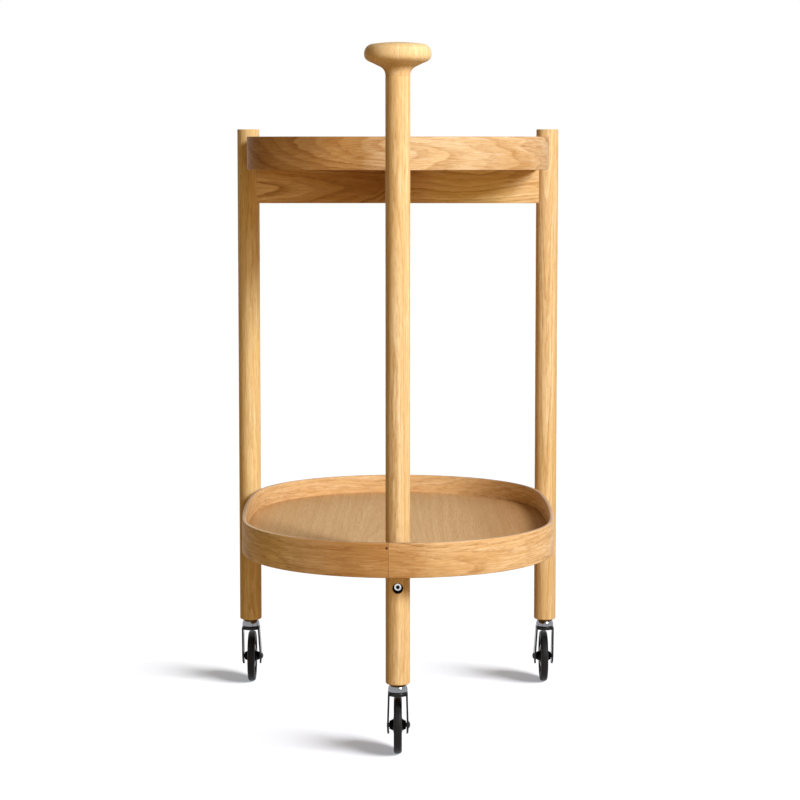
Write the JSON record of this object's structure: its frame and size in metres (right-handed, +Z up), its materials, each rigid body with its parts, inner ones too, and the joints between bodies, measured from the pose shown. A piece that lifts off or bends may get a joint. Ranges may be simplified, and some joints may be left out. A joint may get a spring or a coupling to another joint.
{
  "type": "bar cart",
  "caption": "Oak bar cart with two oval bent-rim trays on round legs, a turned knob on the front leg as a handle, and swivel casters under the legs.",
  "frame": {"origin": "on the floor, at the middle of the lower tray and of the part's bounding box", "axes": "+Z up, +X to the right, +Y to the back, away from the front leg with the knob"},
  "size_m": [0.469, 0.596, 0.9334],
  "materials": {
    "oak": "satin clear lacquer on light oak",
    "oak_board": "satin clear lacquer on light oak, paler than the frame",
    "beech": "bare turned beech",
    "steel": "zinc plated",
    "chrome": "polished chrome plate",
    "nylon": "moulded nylon",
    "black_paint": "gloss black powder coat",
    "black_plastic": "gloss moulded",
    "tyre": "satin rubber"
  },
  "bodies": {
    "root": {"front_leg": "oak", "rear_left_leg": "oak", "rear_right_leg": "oak", "handle_knob": "oak", "knob_dowel": "beech", "upper_tray_rim": "oak", "upper_tray_board": "oak_board", "lower_tray_rim": "oak", "lower_tray_board": "oak_board", "upper_rear_rail": "oak", "upper_stretcher": "oak", "upper_frame_dowels": "beech", "lower_rear_rail": "oak", "lower_stretcher": "oak", "lower_frame_dowels": "beech", "tray_screws": "steel", "front_bolt": "steel", "barrel_nut": "steel", "stem_inserts": "steel", "front_caster_stem": "steel", "front_caster_cup": "chrome", "front_caster_ring": "nylon", "rear_left_caster_stem": "steel", "rear_left_caster_cup": "chrome", "rear_left_caster_ring": "nylon", "rear_right_caster_stem": "steel", "rear_right_caster_cup": "chrome", "rear_right_caster_ring": "nylon"},
    "front_caster_swivel": {"front_caster_fork": "black_paint", "front_caster_axle": "black_paint"},
    "front_caster_wheel": {"front_caster_hub": "black_plastic", "front_caster_tyre": "tyre"},
    "rear_left_caster_swivel": {"rear_left_caster_fork": "black_paint", "rear_left_caster_axle": "black_paint"},
    "rear_left_caster_wheel": {"rear_left_caster_hub": "black_plastic", "rear_left_caster_tyre": "tyre"},
    "rear_right_caster_swivel": {"rear_right_caster_fork": "black_paint", "rear_right_caster_axle": "black_paint"},
    "rear_right_caster_wheel": {"rear_right_caster_hub": "black_plastic", "rear_right_caster_tyre": "tyre"}
  },
  "joints": [
    {"name": "front_caster_swivel", "type": "hinge", "parent": "root", "child": "front_caster_swivel", "pos_m": [0, -0.241, 0.0895], "axis": [0, 0, 1], "continuous": true},
    {"name": "front_wheel_spin", "type": "hinge", "parent": "front_caster_swivel", "child": "front_caster_wheel", "pos_m": [0, -0.215, 0.0375], "axis": [1, 0, 0], "continuous": true},
    {"name": "rear_left_caster_swivel", "type": "hinge", "parent": "root", "child": "rear_left_caster_swivel", "pos_m": [-0.21854, 0.16216, 0.0895], "axis": [0, 0, 1], "continuous": true},
    {"name": "rear_left_wheel_spin", "type": "hinge", "parent": "rear_left_caster_swivel", "child": "rear_left_caster_wheel", "pos_m": [-0.21854, 0.18816, 0.0375], "axis": [1, 0, 0], "continuous": true},
    {"name": "rear_right_caster_swivel", "type": "hinge", "parent": "root", "child": "rear_right_caster_swivel", "pos_m": [0.21854, 0.16216, 0.0895], "axis": [0, 0, 1], "continuous": true},
    {"name": "rear_right_wheel_spin", "type": "hinge", "parent": "rear_right_caster_swivel", "child": "rear_right_caster_wheel", "pos_m": [0.21854, 0.18816, 0.0375], "axis": [1, 0, 0], "continuous": true}
  ]
}
